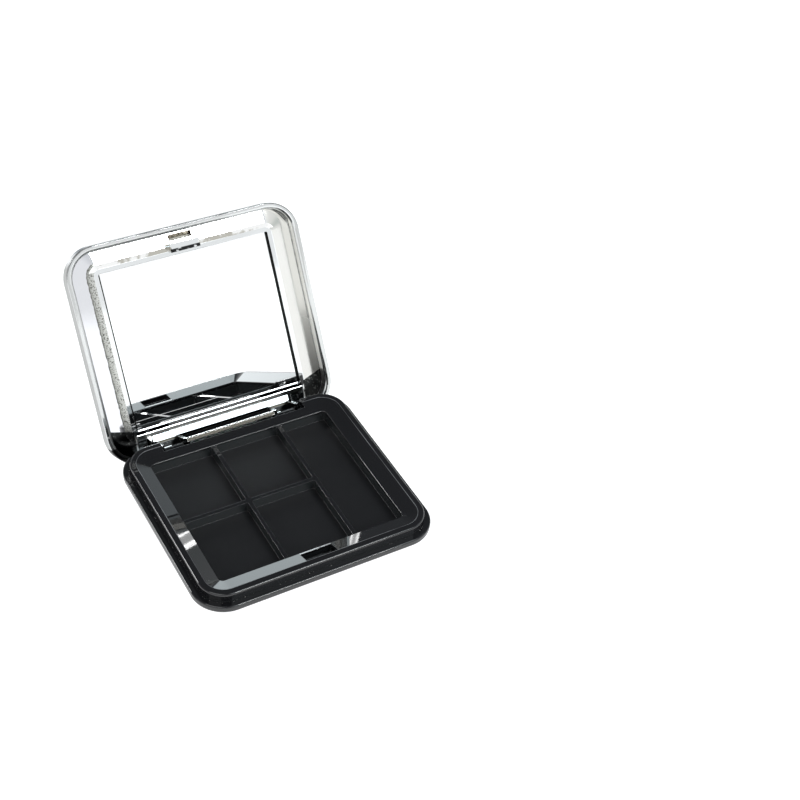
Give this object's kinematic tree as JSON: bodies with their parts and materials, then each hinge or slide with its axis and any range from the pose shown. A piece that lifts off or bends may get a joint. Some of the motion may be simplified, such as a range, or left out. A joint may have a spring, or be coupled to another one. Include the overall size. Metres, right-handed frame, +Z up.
{
  "type": "eyeshadow palette",
  "caption": "Slim rounded-square cosmetics compact: black base with empty wells for powder, bevelled tray and a plated lid with mirror on a rear hinge.",
  "frame": {"origin": "middle of the base's foot, on the surface it rests on", "axes": "+X along the hinge, to the right seen from the front; +Y from the latch towards the hinge; +Z up"},
  "size_m": [0.074, 0.1043, 0.0582],
  "materials": {
    "black_gloss": "glossy moulded ABS",
    "plated_plastic": "vacuum metallised ABS, mirror bright",
    "bright_plate": "metallised sheet, mirror bright",
    "mirror_glass": "polished",
    "pin_steel": "drawn wire",
    "adhesive": "double-sided tape"
  },
  "bodies": {
    "base": {"base_shell": "black_gloss", "well_tray": "black_gloss", "hinge_pin_left": "pin_steel", "hinge_pin_right": "pin_steel"},
    "lid": {"lid_shell": "plated_plastic", "lid_plate": "bright_plate", "plate_tape": "adhesive", "mirror_frame": "plated_plastic", "mirror": "mirror_glass", "mirror_tape": "adhesive"}
  },
  "joints": [
    {"name": "lid_hinge", "type": "hinge", "parent": "base", "child": "lid", "pos_m": [0, 0.0311, 0.0052], "axis": [-1, 0, 0], "range_deg": [-122.5, 0]}
  ]
}
